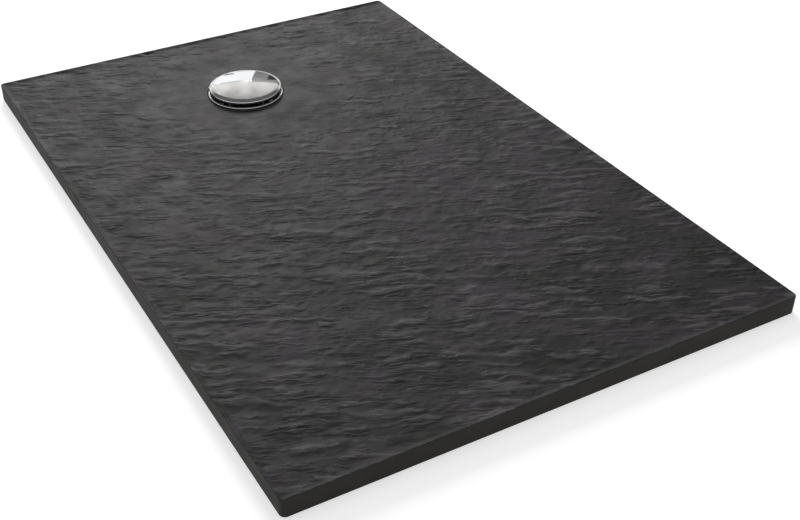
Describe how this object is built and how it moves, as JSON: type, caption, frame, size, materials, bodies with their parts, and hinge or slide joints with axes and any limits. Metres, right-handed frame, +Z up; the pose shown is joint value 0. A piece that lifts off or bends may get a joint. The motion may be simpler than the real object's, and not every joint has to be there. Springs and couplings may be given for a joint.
{
  "type": "shower tray",
  "caption": "Flat rectangular slate-relief shower tray with a waste hole, domed lift-off cover, strainer, lift-out dip tube, trap body below and a ball-jointed pipe outlet.",
  "frame": {"origin": "centre of the slab's underside, in the plane that is bedded on the floor", "axes": "+Z up, +Y along the length towards the waste end, +X across the width"},
  "size_m": [0.8, 1.2, 0.123],
  "materials": {
    "composite": "matt cast gel coat with cleft-slate relief",
    "chrome_metal": "polished chrome plate",
    "seal_rubber": "black moulded rubber",
    "steel": "stainless",
    "brass": "plain brass",
    "trap_plastic": "moulded, fine satin",
    "insert_plastic": "moulded pale grey",
    "carrier_plastic": "moulded dark grey",
    "slide_plastic": "natural moulded plastic",
    "outlet_plastic": "moulded white-grey"
  },
  "bodies": {
    "tray": {"tray_slab": "composite", "flange_ring": "chrome_metal", "flange_seal": "seal_rubber", "flange_screws": "steel", "screw_inserts": "brass", "collar_gasket": "seal_rubber", "trap_body": "trap_plastic", "trap_collar": "trap_plastic", "ball_seal": "seal_rubber", "ball_slide_ring": "slide_plastic", "ball_nut": "trap_plastic"},
    "insert": {"dip_tube": "insert_plastic", "tube_o_ring": "seal_rubber"},
    "strainer": {"hair_strainer": "insert_plastic"},
    "cover": {"cover_dome": "chrome_metal", "cover_carrier": "carrier_plastic", "cover_stud": "steel", "carrier_nut": "brass"},
    "outlet": {"outlet_ball_tube": "outlet_plastic", "pipe_seal": "seal_rubber", "slip_ring": "slide_plastic", "pipe_nut": "trap_plastic"}
  },
  "joints": [
    {"name": "insert_lift", "type": "slide", "parent": "tray", "child": "insert", "axis": [0, 0, 1], "range_m": [0, 0.115]},
    {"name": "strainer_lift", "type": "slide", "parent": "insert", "child": "strainer", "axis": [0, 0, 1], "range_m": [0, 0.05]},
    {"name": "cover_lift", "type": "slide", "parent": "strainer", "child": "cover", "axis": [0, 0, 1], "range_m": [0, 0.06]},
    {"name": "outlet_swivel", "type": "hinge", "parent": "tray", "child": "outlet", "pos_m": [-0.016, 0.436, -0.041], "axis": [0, 0, 1], "range_deg": [-15, 15]}
  ]
}
